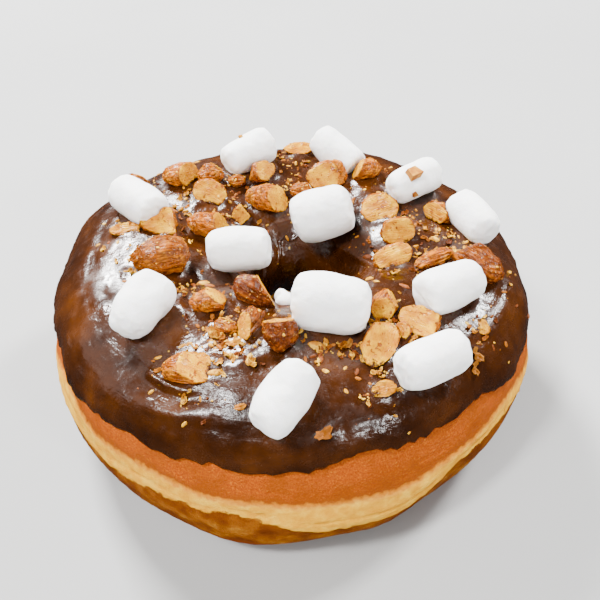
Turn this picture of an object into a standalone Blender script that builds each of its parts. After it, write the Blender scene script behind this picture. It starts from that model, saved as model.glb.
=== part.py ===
"""A rocky road ring doughnut: raised dough, chocolate icing, mini marshmallows and chopped almonds.

Lengths are in millimetres and are turned into metres by MM where an object is made. +Z is up, and the
origin is at the centre of the doughnut's flat foot. Angles run anticlockwise from +X, seen from above.
"""

import math
import random

import bmesh
import bpy
from mathutils import Matrix, Vector

MM = 0.001

# Ring of dough
OUTER_RADIUS = 50.0
HOLE_RADIUS = 10.0
HOLE_SHIFT = 3.0
DOUGH_HEIGHT = 36.0
EQUATOR_HEIGHT = 16.5
LOWER_DEPTH = 17.2
FULLNESS = 2.5
LOWER_FULLNESS = 2.75
DOUGH_SEGMENTS = (60, 18)

# Uneven proving: each bulge is its angle, its height and its spread, in degrees, millimetres, degrees
BULGES = ((152.0, 2.2, 15.0), (205.0, -0.7, 14.0), (302.0, -0.8, 12.0), (342.0, 1.1, 9.0))
FOOT_BULGES = ((258.0, 3.4, 15.0), (289.0, 1.6, 7.0))
BAND_HEIGHT = 14.5
BAND_WIDTH = 3.4
BAND_SWELL = 0.7

# Icing
ICING_GAP = 0.3
ICING_THICKNESS = 2.2
ICING_OUTER_EDGE = 26.7
ICING_INNER_EDGE = 18.5
EDGE_DIPS = ((219.0, -1.1, 9.0), (258.0, -0.5, 8.0), (284.0, 1.0, 10.0), (331.0, -2.2, 10.0), (120.0, 1.2, 30.0))
EDGE_RIPPLE = 0.45
ICING_WAVE = 0.35
ICING_SEGMENTS = (66, 20)

# Toppings
SEAT_GAP = 0.3
SEAT_DEPTH = 9.0
NEIGHBOUR_GAP = 0.3
MARSHMALLOW_SIDES = 12
MARSHMALLOW_ROUNDING = 0.27

# Crumbs of chopped almond, fused to the icing
CRUMB_COUNT = 26
CRUMB_SIZES = (1.5, 2.8)
CRUMB_CLEARANCE = 0.6
CRUMB_SINK = 0.25
CRUMB_SEED = 11

# name, angle and radius of its foot, heading of its long side, pitch, length, diameter, waist, taper, sink
MARSHMALLOWS = (
    ("marshmallow_far_left", 160.0, 33.0, 132.0, 4.0, 13.8, 8.5, 0.02, 0.04, 0.7),
    ("marshmallow_back_left", 104.5, 31.5, 34.0, 6.0, 12.6, 8.3, 0.00, 0.10, 0.9),
    ("marshmallow_back", 68.0, 33.0, 134.0, 20.0, 12.6, 8.1, 0.00, -0.08, 0.8),
    ("marshmallow_back_right", 30.0, 32.6, 30.0, 6.0, 12.4, 7.5, 0.03, 0.03, 0.7),
    ("marshmallow_far_right", 4.2, 38.0, 112.0, 6.0, 12.0, 7.8, 0.01, 0.02, 0.7),
    ("marshmallow_right", 325.2, 35.2, 30.0, 0.0, 13.2, 8.3, 0.02, -0.03, 0.8),
    ("marshmallow_front_right", 303.3, 41.6, 27.0, 0.0, 13.4, 8.2, 0.04, 0.03, 0.9),
    ("marshmallow_middle", 287.0, 25.2, -13.0, 0.0, 13.8, 10.4, -0.02, -0.04, 0.9),
    ("marshmallow_front", 268.0, 41.8, 57.0, 0.0, 12.8, 8.0, 0.06, 0.02, 0.8),
    ("marshmallow_left", 221.0, 34.0, 66.0, 2.0, 13.2, 9.2, 0.03, 0.08, 0.9),
    ("marshmallow_hole_left", 199.0, 12.8, -4.0, 33.0, 12.8, 8.8, 0.02, 0.00, -0.9),
    ("marshmallow_hole_back", 55.0, 15.8, 14.0, 4.0, 12.8, 11.0, -0.01, -0.03, 0.4),
)

# name, angle and radius of its foot, heading, size, sink, and the way its knife cuts face. A cut is its
# bearing on the plan, its height above level and how much of that side is left, in degrees, degrees, share
ALMONDS = (
    ("almond_half_left", 193.5, 25.5, 8.0, (11.6, 9.4, 7.2), 1.2, ((128, 12, 0.62),)),
    ("almond_split_front_left", 244.0, 38.5, -10.0, (10.0, 6.4, 4.6), 1.4, ((326, 66, 0.25),)),
    ("almond_half_right", 342.5, 38.5, 124.0, (11.0, 7.4, 6.2), 1.2, ((112, 30, 0.55),)),
    ("almond_half_hole_left", 159.0, 17.6, -6.0, (9.8, 6.8, 5.8), 1.1, ((-8, 24, 0.35),)),
    ("almond_half_back", 103.0, 17.2, -12.0, (9.6, 6.6, 6.0), 1.0, ((-28, 24, 0.25),)),
    ("almond_chunk_back", 66.0, 24.5, 0.0, (9.6, 7.8, 6.8), 1.0, ((262, 34, 0.3), (318, 20, 0.6))),
    ("almond_chunk_front", 267.0, 29.8, 78.0, (8.2, 7.0, 7.2), 1.1, ((96, 52, 0.35), (16, 10, 0.7))),
    ("almond_half_hole_front", 248.0, 17.6, 160.0, (9.4, 6.8, 5.8), 1.1, ((20, 18, 0.45),)),
    ("almond_slice_front_right", 296.0, 35.2, 66.0, (9.2, 6.2, 3.4), 0.8, ((255, 70, 0.1), (75, 10, 0.8))),
    ("almond_disc_right", 26.5, 23.0, -55.0, (8.2, 8.0, 4.6), 0.9, ((252, 52, 0.1),)),
    ("almond_half_hole_right", 3.0, 23.4, -10.0, (7.4, 6.0, 5.2), 0.9, ((268, 34, 0.25),)),
    ("almond_cup_hole_right", 345.5, 22.2, -6.0, (8.0, 6.0, 4.4), 0.9, ((258, 50, 0.2),)),
    ("almond_block_left", 168.0, 27.0, -8.0, (8.6, 6.4, 5.4), 1.0, ((275, 58, 0.2), (2, 10, 0.6))),
    ("almond_half_far_left", 134.0, 33.5, -4.0, (8.2, 6.4, 5.8), 1.0, ((-35, 20, 0.4),)),
    ("almond_disc_back_left", 133.5, 24.2, -60.0, (7.4, 7.0, 4.6), 0.9, ((268, 46, 0.1),)),
    ("almond_chunk_back_left", 125.0, 29.0, 30.0, (6.0, 5.2, 5.2), 0.9, ((60, 20, 0.5),)),
    ("almond_chunk_far_back", 101.0, 25.0, 20.0, (6.8, 5.4, 5.0), 0.9, ((330, 38, 0.3), (190, 20, 0.7))),
    ("almond_bit_far_back", 115.0, 25.0, 20.0, (4.4, 3.4, 3.0), 0.7, ((100, 20, 0.5),)),
    ("almond_bit_back", 79.0, 20.0, 0.0, (5.4, 4.4, 4.0), 0.8, ((20, 10, 0.5),)),
    ("almond_sliver_far_back", 84.0, 35.8, -4.0, (7.2, 3.8, 3.0), 0.4, ((262, 74, 0.1),)),
    ("almond_chunk_back_right", 51.0, 30.0, 10.0, (6.8, 5.4, 5.4), 0.9, ((176, 30, 0.5),)),
    ("almond_chunk_far_right", 12.0, 33.2, -40.0, (7.2, 5.0, 4.8), 0.9, ((218, 22, 0.5),)),
    ("almond_sliver_right", 344.0, 30.0, 22.0, (9.0, 3.8, 3.4), 0.8, ((250, 60, 0.8),)),
    ("almond_bit_hole_back", 128.0, 16.0, 60.0, (4.6, 3.8, 4.0), 0.7, ((262, 30, 0.1), (30, 30, 0.4))),
    ("almond_chunk_hole_left", 234.0, 24.5, 20.0, (7.4, 5.4, 5.0), 1.0, ((22, 42, 0.3), (350, 0, 0.7))),
    ("almond_splinter_front", 255.0, 27.0, 62.0, (8.6, 4.2, 4.6), 0.8, ((212, 34, 0.1), (60, 30, 0.8))),
    ("almond_bit_front", 247.0, 28.0, 150.0, (4.6, 3.8, 3.0), 0.7, ((60, 30, 0.4),)),
    ("almond_chunk_right", 308.0, 28.5, 70.0, (6.0, 5.0, 4.8), 0.9, ((256, 20, 0.45), (10, 30, 0.7))),
    ("almond_slice_right", 311.0, 35.0, -34.0, (7.8, 5.8, 4.0), 0.9, ((240, 62, 0.1), (330, 10, 0.7))),
    ("almond_chip_front", 291.0, 42.5, 12.0, (4.4, 2.8, 2.2), 0.6, ((262, 60, 0.1),)),
    ("almond_chip_right", 324.0, 43.0, -50.0, (3.4, 2.6, 1.8), 0.5, ((240, 66, 0.1),)),
    ("almond_sliver_left", 172.0, 33.5, -4.0, (6.4, 3.4, 2.2), 0.6, ((266, 70, 0.1),)),
    ("almond_half_outer_left", 146.5, 41.6, 40.0, (8.6, 6.0, 5.2), 0.7, ((60, 20, 0.4),)),
    ("almond_bit_right", 305.0, 34.6, 70.0, (3.8, 3.0, 2.8), 0.6, ((240, 40, 0.3),)),
)

COLOURS = {
    "dough": ((0.62, 0.29, 0.075), 0.6),
    "icing": ((0.075, 0.026, 0.012), 0.22),
    "marshmallow": ((0.90, 0.885, 0.85), 0.75),
    "almond": ((0.55, 0.27, 0.09), 0.55),
}


def clear_scene():
    """Removes every object that a new Blender file starts with."""
    for item in list(bpy.data.objects):
        bpy.data.objects.remove(item)


def bell(angle, centre, spread):
    """A smooth bump of height 1 round the ring, centred at an angle, in degrees."""
    away = (angle - centre + 180.0) % 360.0 - 180.0
    return math.exp(-((away / spread) ** 2))


def signed_power(value, power):
    """value to a power, with its sign kept."""
    return math.copysign(abs(value) ** power, value)


def outer_radius(angle):
    """How far the dough's widest line is from the centre at an angle in degrees."""
    swell = sum(height * bell(angle, centre, spread) for centre, height, spread in BULGES)
    return OUTER_RADIUS + swell


def hole_radius(angle):
    """How far the edge of the hole is from the centre: the hole lies a little to the right."""
    turn = math.radians(angle)
    across = HOLE_SHIFT * math.sin(turn)
    return HOLE_SHIFT * math.cos(turn) + math.sqrt(HOLE_RADIUS**2 - across**2)


def ring_point(angle, turn, grow):
    """A point grow millimetres outside the dough. turn goes round the section from its outer side, up."""
    middle = (outer_radius(angle) + hole_radius(angle)) / 2
    half_width = (outer_radius(angle) - hole_radius(angle)) / 2
    fullness = FULLNESS if math.sin(turn) >= 0 else LOWER_FULLNESS
    across = signed_power(math.cos(turn), 2 / fullness)
    up = signed_power(math.sin(turn), 2 / fullness)
    if up >= 0:
        height = EQUATOR_HEIGHT + (DOUGH_HEIGHT - EQUATOR_HEIGHT + grow) * up
    else:
        height = max(EQUATOR_HEIGHT + LOWER_DEPTH * up, 0.0)
    radius = middle + (half_width + grow) * across
    if across > 0:
        band = BAND_SWELL * math.exp(-(((height - BAND_HEIGHT) / BAND_WIDTH) ** 2))
        sag = sum(swell * bell(angle, centre, spread) for centre, swell, spread in FOOT_BULGES)
        radius += band + sag * max(-up, 0.0) * across
    return Vector((radius * math.cos(math.radians(angle)), radius * math.sin(math.radians(angle)), height))


def turn_at_height(height):
    """The turn, on the section's upper outer side, at which the dough is that high."""
    share = (height - EQUATOR_HEIGHT) / (DOUGH_HEIGHT - EQUATOR_HEIGHT)
    return math.asin(min(1.0, max(0.0, share) ** (FULLNESS / 2)))


def icing_turns(angle):
    """Where the icing starts on the outer side and where it ends in the hole, at an angle."""
    turn = math.radians(angle)
    dips = sum(depth * bell(angle, centre, spread) for centre, depth, spread in EDGE_DIPS)
    ripple = EDGE_RIPPLE * (math.sin(13 * turn) + 0.6 * math.sin(23 * turn + 1.0))
    outer = turn_at_height(ICING_OUTER_EDGE + dips + ripple)
    inner = math.pi - turn_at_height(ICING_INNER_EDGE + 1.2 * math.sin(4 * turn) + ripple)
    return outer, inner


def icing_cover(angle, turn):
    """The icing's thickness over the dough: full on top, with rounded lips, and gently wavy."""
    start, end = icing_turns(angle)
    share = (turn - start) / (end - start)
    lip = max(0.0, 1.0 - abs(2 * share - 1) ** 5) ** 0.5
    along = math.radians(angle)
    wave = ICING_WAVE * (math.sin(5 * along + 3 * turn) + math.sin(8 * along - 4 * turn + 2.0))
    return ICING_GAP + lip * (ICING_THICKNESS - ICING_GAP + wave * math.sin(turn) ** 2)


def icing_surface(angle, turn):
    """A point on the outside of the icing."""
    return ring_point(angle, turn, icing_cover(angle, turn))


def crest_seat(angle, radius):
    """The point of the icing above a place on the plan, and the direction that faces away from it."""
    inside, outside = math.pi * 0.98, math.pi * 0.02
    for _ in range(40):
        turn = (inside + outside) / 2
        point = icing_surface(angle, turn)
        if math.hypot(point.x, point.y) < radius:
            inside = turn
        else:
            outside = turn
    step = 0.02
    along = icing_surface(angle + 1.0, turn) - icing_surface(angle - 1.0, turn)
    over = icing_surface(angle, turn + step) - icing_surface(angle, turn - step)
    return point, along.cross(over).normalized()


def finish(item, family, collection):
    """Names the mesh, gives it its colour and puts it in the doughnut's collection."""
    colour, roughness = COLOURS[family]
    material = bpy.data.materials.get(family) or bpy.data.materials.new(family)
    material.use_nodes = True
    shader = material.node_tree.nodes["Principled BSDF"]
    shader.inputs["Base Color"].default_value = (*colour, 1.0)
    shader.inputs["Roughness"].default_value = roughness
    item.data.materials.clear()
    item.data.materials.append(material)
    item.data.name = item.name
    move_to(item, collection)
    return item


def move_to(item, collection):
    """Takes an object out of its collections and puts it in one."""
    for old in list(item.users_collection):
        old.objects.unlink(item)
    collection.objects.link(item)


def torus(name, segments):
    """A torus of unit size, to be moulded into a ring of the doughnut."""
    around, across = segments
    bpy.ops.mesh.primitive_torus_add(
        major_segments=around, minor_segments=across, major_radius=1.0, minor_radius=0.5
    )
    item = bpy.context.object
    item.name = name
    return item


def mould(item, place):
    """Moves each vertex of a unit torus to place(angle in degrees, turn), which is in millimetres."""
    for vertex in item.data.vertices:
        x, y, z = vertex.co
        angle = math.degrees(math.atan2(y, x)) % 360.0
        turn = math.atan2(z, math.hypot(x, y) - 1.0) % math.tau
        vertex.co = place(angle, turn) * MM
    item.data.update()


def make_dough(collection):
    """The raised ring, a little uneven, with its pale band swelling at the waist and a flat foot."""
    item = torus("dough", DOUGH_SEGMENTS)
    mould(item, lambda angle, turn: ring_point(angle, turn, 0.0))
    item.data.shade_smooth()
    return finish(item, "dough", collection)


def icing_place(lift, inside):
    """A torus's upper half becomes the icing's outside, lifted, and its lower half becomes the inside."""

    def place(angle, turn):
        start, end = icing_turns(angle)
        if turn <= math.pi:
            over = start + (end - start) * turn / math.pi
            return ring_point(angle, over, icing_cover(angle, over) + lift)
        back = start + (end - start) * (math.tau - turn) / math.pi
        return ring_point(angle, back, inside)

    return place


def make_icing(collection):
    """The coat of chocolate icing, which wraps the top and runs down into the hole."""
    item = torus("icing", ICING_SEGMENTS)
    mould(item, icing_place(0.0, ICING_GAP))
    item.data.shade_smooth()
    return finish(item, "icing", collection)


def make_seat(collection):
    """A cutter: the icing SEAT_GAP larger and much deeper, which shapes the toppings' undersides."""
    item = torus("seat", ICING_SEGMENTS)
    mould(item, icing_place(SEAT_GAP, -SEAT_DEPTH))
    item.hide_render = True
    item.display_type = "WIRE"
    move_to(item, collection)
    return item


def seated_matrix(angle, radius, heading, pitch, lift):
    """The place of a topping on the icing. Its own X lies along its heading, and its own Z stands up."""
    foot, up = crest_seat(angle, radius)
    flat = Vector((math.cos(math.radians(heading)), math.sin(math.radians(heading)), 0.0))
    along = (flat - up * flat.dot(up)).normalized()
    side = up.cross(along)
    turned = Matrix((along, side, up)).transposed().to_4x4()
    lean = Matrix.Rotation(math.radians(-pitch), 4, "Y")
    return Matrix.Translation((foot + up * lift) * MM) @ turned @ lean


def apply_modifier(item):
    """Applies the object's only modifier."""
    bpy.context.view_layer.objects.active = item
    bpy.ops.object.modifier_apply(modifier=item.modifiers[0].name)


def make_marshmallow(spec, collection):
    """A short cut rope of marshmallow: a cylinder with soft rims, lying on its side."""
    name, angle, radius, heading, pitch, length, diameter, waist, taper, sink = spec
    bpy.ops.mesh.primitive_cylinder_add(
        vertices=MARSHMALLOW_SIDES, radius=diameter / 2 * MM, depth=length * MM, rotation=(0, math.pi / 2, 0)
    )
    item = bpy.context.object
    item.name = name
    bpy.ops.object.transform_apply(rotation=True)
    bevel = item.modifiers.new("soft rims", "BEVEL")
    bevel.width = MARSHMALLOW_ROUNDING * diameter * MM
    bevel.segments = 2
    bevel.limit_method = "ANGLE"
    bevel.angle_limit = math.radians(50)
    apply_modifier(item)
    shape = bmesh.new()
    shape.from_mesh(item.data)
    bmesh.ops.bisect_plane(
        shape, geom=shape.verts[:] + shape.edges[:] + shape.faces[:], plane_co=(0, 0, 0), plane_no=(1, 0, 0)
    )
    for vertex in shape.verts:
        share = 2 * vertex.co.x / (length * MM)
        width = 1.0 - waist * (1 - share**2) + taper * share
        vertex.co.y *= width
        vertex.co.z *= width
    shape.to_mesh(item.data)
    shape.free()
    item.matrix_world = seated_matrix(angle, radius, heading, pitch, diameter / 2 - sink)
    item.data.shade_smooth()
    return finish(item, "marshmallow", collection)


def make_scrap(collection):
    """The torn scrap of marshmallow at the near edge of the hole."""
    bpy.ops.mesh.primitive_ico_sphere_add(subdivisions=2, radius=1.0)
    item = bpy.context.object
    item.name = "marshmallow_scrap"
    for vertex in item.data.vertices:
        x, y, z = vertex.co
        tear = 1.0 + 0.16 * math.sin(5 * x + 2) * math.cos(6 * y) + 0.1 * math.sin(9 * z)
        vertex.co = Vector((x * 2.6, y * 2.1, z * 1.7)) * tear * MM
    item.matrix_world = seated_matrix(267.0, 14.5, 60.0, 10.0, 1.1)
    return finish(item, "marshmallow", collection)


def almond_body(name, seed):
    """A whole almond of unit half length: blunt at one end, pointed at the other, a little dented."""
    bpy.ops.mesh.primitive_uv_sphere_add(segments=8, ring_count=7, radius=1.0, rotation=(0, math.pi / 2, 0))
    item = bpy.context.object
    item.name = name
    bpy.ops.object.transform_apply(rotation=True)
    draw = random.Random(seed)
    for vertex in item.data.vertices:
        x = min(1.0, abs(vertex.co.x))
        full = ((1.0 - x**2.6) / max(1.0 - x**2, 0.01)) ** 0.5
        point = 1.0 - 0.18 * max(0.0, -vertex.co.x) ** 1.5
        vertex.co.y *= full * point
        vertex.co.z *= full * point
        vertex.co *= draw.uniform(0.94, 1.05)
    return item


def extent(item, facing):
    """How far the body's surface reaches each way along a direction: lowest, highest."""
    reaches = [vertex.co.dot(facing) for vertex in item.data.vertices]
    return min(reaches), max(reaches)


def cut_flat(item, facing, share):
    """Cuts the body by a plane, as a knife chops a nut, leaves a share of that side and closes the cut."""
    low, high = extent(item, facing)
    shape = bmesh.new()
    shape.from_mesh(item.data)
    result = bmesh.ops.bisect_plane(
        shape,
        geom=shape.verts[:] + shape.edges[:] + shape.faces[:],
        plane_co=facing * ((low + high) / 2 + (high - low) / 2 * share),
        plane_no=facing,
        clear_outer=True,
    )
    rim = [part for part in result["geom_cut"] if isinstance(part, bmesh.types.BMEdge)]
    bmesh.ops.edgeloop_fill(shape, edges=rim)
    bmesh.ops.recalc_face_normals(shape, faces=shape.faces[:])
    shape.to_mesh(item.data)
    shape.free()


def fit_to_size(item, size):
    """Scales a body so that its box has that size, centred on its origin."""
    for axis, direction in enumerate(Matrix.Identity(3)):
        low, high = extent(item, direction)
        for vertex in item.data.vertices:
            vertex.co[axis] = (vertex.co[axis] - (low + high) / 2) / (high - low) * size[axis] * MM


def make_almond(spec, seed, collection):
    """One piece of chopped almond, set on the icing."""
    name, angle, radius, heading, size, sink, cuts = spec
    item = almond_body(name, seed)
    fit_to_size(item, size)
    item.matrix_world = seated_matrix(angle, radius, heading, 0.0, size[2] / 2 - sink)
    for bearing, slope, share in cuts:
        turn, rise = math.radians(bearing), math.radians(slope)
        facing = Vector((math.cos(turn) * math.cos(rise), math.sin(turn) * math.cos(rise), math.sin(rise)))
        cut_flat(item, item.matrix_world.to_3x3().inverted() @ facing, share)
    fit_to_size(item, size)
    return finish(item, "almond", collection)


def place_in_mesh(item):
    """Moves an object's place into its mesh."""
    item.data.transform(item.matrix_world)
    item.matrix_world = Matrix.Identity(4)


def boxes_meet(first, second, gap):
    """True if two objects' boxes are closer than a gap."""
    for axis in range(3):
        ours = [vertex.co[axis] for vertex in first.data.vertices]
        theirs = [vertex.co[axis] for vertex in second.data.vertices]
        if min(ours) > max(theirs) + gap or min(theirs) > max(ours) + gap:
            return False
    return True


def grown_copy(item, gap, collection):
    """A cutter: a copy of a topping with its skin moved out by a gap."""
    copy = item.copy()
    copy.data = item.data.copy()
    collection.objects.link(copy)
    shape = bmesh.new()
    shape.from_mesh(copy.data)
    bmesh.ops.remove_doubles(shape, verts=shape.verts[:], dist=0.01 * MM)
    shape.normal_update()
    for vertex, normal in [(vertex, vertex.normal.copy()) for vertex in shape.verts]:
        vertex.co += normal * gap
    shape.to_mesh(copy.data)
    shape.free()
    copy.hide_render = True
    copy.display_type = "WIRE"
    return copy


def cut_by(item, cutter):
    """Takes a cutter out of a topping."""
    cut = item.modifiers.new("cut", "BOOLEAN")
    cut.operation = "DIFFERENCE"
    cut.object = cutter
    cut.solver = "EXACT"
    apply_modifier(item)


def keep_largest_piece(item):
    """Drops the loose scraps that a cut leaves, and welds the mesh."""
    shape = bmesh.new()
    shape.from_mesh(item.data)
    bmesh.ops.remove_doubles(shape, verts=shape.verts[:], dist=0.002 * MM)
    unseen = set(shape.verts)
    islands = []
    while unseen:
        island = {unseen.pop()}
        front = list(island)
        while front:
            here = front.pop()
            near = {edge.other_vert(here) for edge in here.link_edges}
            fresh = [vertex for vertex in near if vertex in unseen]
            unseen.difference_update(fresh)
            island.update(fresh)
            front.extend(fresh)
        islands.append(island)
    largest = max(islands, key=len)
    loose = [vertex for island in islands if island is not largest for vertex in island]
    bmesh.ops.delete(shape, geom=loose, context="VERTS")
    shape.to_mesh(item.data)
    shape.free()


def seat_toppings(toppings, seat, cutters):
    """Shapes each topping's underside to the icing, and its flanks to the neighbours placed before it."""
    for order, item in enumerate(toppings):
        place_in_mesh(item)
        cut_by(item, seat)
        for neighbour in toppings[:order]:
            if boxes_meet(item, neighbour, NEIGHBOUR_GAP * MM):
                cutter = grown_copy(neighbour, NEIGHBOUR_GAP * MM, cutters)
                cut_by(item, cutter)
                bpy.data.objects.remove(cutter)
        keep_largest_piece(item)


def make_crumb(size, collection):
    """A many-sided crumb of almond, with a shape of its own."""
    bpy.ops.mesh.primitive_ico_sphere_add(subdivisions=1, radius=0.5 * size.x * MM)
    item = bpy.context.object
    for vertex in item.data.vertices:
        vertex.co.y *= size.y / size.x
        vertex.co.z *= size.z / size.x
    move_to(item, collection)
    return item


def scatter_crumbs(toppings, almonds, collection):
    """Drops crumbs on the icing round the chopped almonds, clear of every topping."""
    draw = random.Random(CRUMB_SEED)
    feet = [(spec[1], spec[2]) for spec in almonds]
    corners = [vertex.co / MM for item in toppings for vertex in item.data.vertices]
    placed = []
    while len(placed) < CRUMB_COUNT:
        angle, radius = draw.choice(feet)
        angle += draw.uniform(-22.0, 22.0)
        radius = min(max(radius + draw.uniform(-8.0, 8.0), 17.0), 41.0)
        width = draw.uniform(*CRUMB_SIZES)
        size = Vector((width, width * draw.uniform(0.55, 0.9), width * draw.uniform(0.5, 0.8)))
        foot, _ = crest_seat(angle, radius)
        reach = width / 2 + CRUMB_CLEARANCE
        too_near = any((corner - foot).length < reach + 1.2 for corner in corners)
        if too_near or any((foot - other).length < width + 1.0 for other in placed):
            continue
        item = make_crumb(size, collection)
        item.matrix_world = seated_matrix(
            angle, radius, draw.uniform(0, 360), draw.uniform(-15, 15), size.z * 0.22 - CRUMB_SINK
        )
        placed.append(foot)


def fuse_crumbs(icing, crumbs):
    """Joins the crumbs to the icing in one union, and removes the loose ones."""
    union = icing.modifiers.new("crumbs", "BOOLEAN")
    union.operation = "UNION"
    union.operand_type = "COLLECTION"
    union.collection = crumbs
    union.solver = "MANIFOLD"
    apply_modifier(icing)
    for item in list(crumbs.objects):
        bpy.data.objects.remove(item)
    keep_largest_piece(icing)


def new_collection(name):
    """A collection linked to the scene."""
    collection = bpy.data.collections.new(name)
    bpy.context.scene.collection.children.link(collection)
    return collection


def main():
    """Builds the doughnut, bottom to top."""
    clear_scene()
    doughnut = new_collection("rocky_road_doughnut")
    cutters = new_collection("cutters")
    crumbs = new_collection("crumbs")
    make_dough(doughnut)
    icing = make_icing(doughnut)
    seat = make_seat(cutters)
    toppings = [make_marshmallow(spec, doughnut) for spec in MARSHMALLOWS]
    toppings += [make_scrap(doughnut)]
    toppings += [make_almond(spec, seed, doughnut) for seed, spec in enumerate(ALMONDS)]
    seat_toppings(toppings, seat, cutters)
    bpy.data.objects.remove(seat)
    scatter_crumbs(toppings, ALMONDS, crumbs)
    fuse_crumbs(icing, crumbs)


main()
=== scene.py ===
# %% [markdown]
# # A rocky road ring doughnut
# A raised ring doughnut, fried, dipped in chocolate icing, and topped while the icing is wet with mini
# marshmallows and chopped roasted almonds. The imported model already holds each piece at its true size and
# place. What it lacks is the surface: the drag marks of the dip, the torn pale waist of the dough, the
# wrinkled skin of the nuts. Lengths in this file are in millimetres and MM turns them into metres.

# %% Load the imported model
import functools
import math
import random

import bmesh
import bpy
import numpy as np
from mathutils import Matrix, Vector, noise
from mathutils.bvhtree import BVHTree


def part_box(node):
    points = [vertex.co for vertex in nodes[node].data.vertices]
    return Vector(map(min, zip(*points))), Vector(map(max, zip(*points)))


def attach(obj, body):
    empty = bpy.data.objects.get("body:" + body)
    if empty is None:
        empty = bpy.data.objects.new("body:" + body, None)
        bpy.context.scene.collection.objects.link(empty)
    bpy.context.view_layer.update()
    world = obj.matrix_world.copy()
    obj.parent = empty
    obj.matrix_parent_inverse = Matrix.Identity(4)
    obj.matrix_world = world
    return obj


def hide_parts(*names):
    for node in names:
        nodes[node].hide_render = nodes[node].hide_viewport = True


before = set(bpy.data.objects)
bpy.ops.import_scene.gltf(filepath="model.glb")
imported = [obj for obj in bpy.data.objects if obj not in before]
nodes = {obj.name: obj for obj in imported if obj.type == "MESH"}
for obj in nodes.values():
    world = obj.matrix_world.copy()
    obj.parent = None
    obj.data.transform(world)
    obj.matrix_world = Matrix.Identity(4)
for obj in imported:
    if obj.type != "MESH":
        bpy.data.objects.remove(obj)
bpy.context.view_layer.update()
MM = 0.001
marshmallow_names = sorted(name for name in nodes if name.startswith("marshmallow"))
almond_names = sorted(name for name in nodes if name.startswith("almond"))
print("loaded", len(nodes), "nodes:", len(marshmallow_names), "marshmallows,", len(almond_names), "almonds")

# %% [markdown]
# ## The camera
# The photograph looks down at about 43 degrees from close by, so the near rim is drawn larger than the far
# one. A camera that is placed, aimed and then rolled by a degree repeats that. Its lens is given as the
# focal length in pixels over the picture's width, turned into millimetres on a 36 mm sensor.

# %% Camera
EYE = Vector((0.0, -121.1, 127.1)) * MM
AIM = Vector((2.6, 0.0, 22.1)) * MM
FOCAL_PIXELS = 732.5
PICTURE_WIDTH = 600
CAMERA_ROLL = math.radians(-1.3)

bpy.ops.object.camera_add(location=EYE, rotation=(AIM - EYE).to_track_quat("-Z", "Y").to_euler())
camera = bpy.context.object
camera.rotation_euler.rotate_axis("Z", CAMERA_ROLL)
camera.data.sensor_width = 36.0
camera.data.lens = 36.0 * FOCAL_PIXELS / PICTURE_WIDTH
camera.data.clip_start = 0.005
bpy.context.scene.camera = camera
print("camera", round(camera.data.lens, 1), "mm lens")

# %% [markdown]
# ## The light
# Wet icing shows mostly what it reflects, so the light is as much a part of its look as its colour. Four
# small panels hang high round the doughnut, as lamps in a kitchen do, and each draws its own patch of glare.
# Two wide, weak ones are the ceiling, which lays a broad sheen over the front and the left. The last one only
# fills the shadows: it and the floor are kept out of the reflections, so that the chocolate stays dark
# between its highlights. Places and widths are in metres.

# %% Studio
CENTRE = Vector((0.0, 0.0, 0.03))
PANELS = {
    "back left": ((-0.50, 0.82, 0.93), 0.30, 86.0),
    "back right": ((0.80, 0.52, 0.95), 0.24, 42.0),
    "front left": ((-0.55, -0.40, 1.05), 0.16, 24.0),
    "front right": ((0.62, -0.75, 0.50), 0.13, 8.0),
    "ceiling front": ((-0.50, -0.42, 1.00), 0.70, 8.0),
    "ceiling left": ((-1.10, 0.15, 0.65), 0.80, 2.6),
    "front fill": ((0.10, -1.00, 0.30), 0.60, 3.3),
}
FLOOR_WIDTH = 3.0
FLOOR_GAP = 0.0002

for name, (place, width, power) in PANELS.items():
    facing = (CENTRE - Vector(place)).to_track_quat("-Z", "Y").to_euler()
    bpy.ops.object.light_add(type="AREA", location=place, rotation=facing)
    panel = bpy.context.object
    panel.name = name
    panel.data.size = width
    panel.data.energy = power
    panel.visible_glossy = name != "front fill"

bpy.ops.mesh.primitive_plane_add(size=FLOOR_WIDTH, location=(0, 0, -FLOOR_GAP))
floor = bpy.context.object
floor.name = "floor"
floor.visible_glossy = False
print(len(PANELS), "panels and a floor")

# %% [markdown]
# ## Helpers for shaders
# Each finish is a small tree of nodes. `add` makes one node and fills its sockets: a plain value is set on
# the socket, and another node's output is linked to it. That keeps a finish readable as a list of steps.


# %% Shader helpers
def new_material(name, **sockets):
    """A material, its node tree and its Principled shader, with plain values set on the shader."""
    material = bpy.data.materials.new(name)
    material.use_nodes = True
    shader = material.node_tree.nodes["Principled BSDF"]
    for socket, value in sockets.items():
        shader.inputs[socket.replace("_", " ")].default_value = value
    return material, material.node_tree, shader


def add(tree, kind, sockets, output=0, **settings):
    """Adds a shader node and returns one of its outputs."""
    made = tree.nodes.new("ShaderNode" + kind)
    for name, value in settings.items():
        setattr(made, name, value)
    for socket, value in sockets.items():
        if isinstance(value, bpy.types.NodeSocket):
            tree.links.new(value, made.inputs[socket])
        else:
            made.inputs[socket].default_value = value
    return made.outputs[output]


def place_in(tree):
    """The piece's own coordinates, in metres."""
    return add(tree, "TexCoord", {}, "Object")


def grain(tree, size, detail=3.0, roughness=0.5, distortion=0.0, place=None):
    """Noise whose lumps are about size millimetres."""
    vector = place or place_in(tree)
    sockets = {"Vector": vector, "Scale": 1 / (size * MM), "Detail": detail}
    return add(tree, "TexNoise", {**sockets, "Roughness": roughness, "Distortion": distortion})


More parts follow.
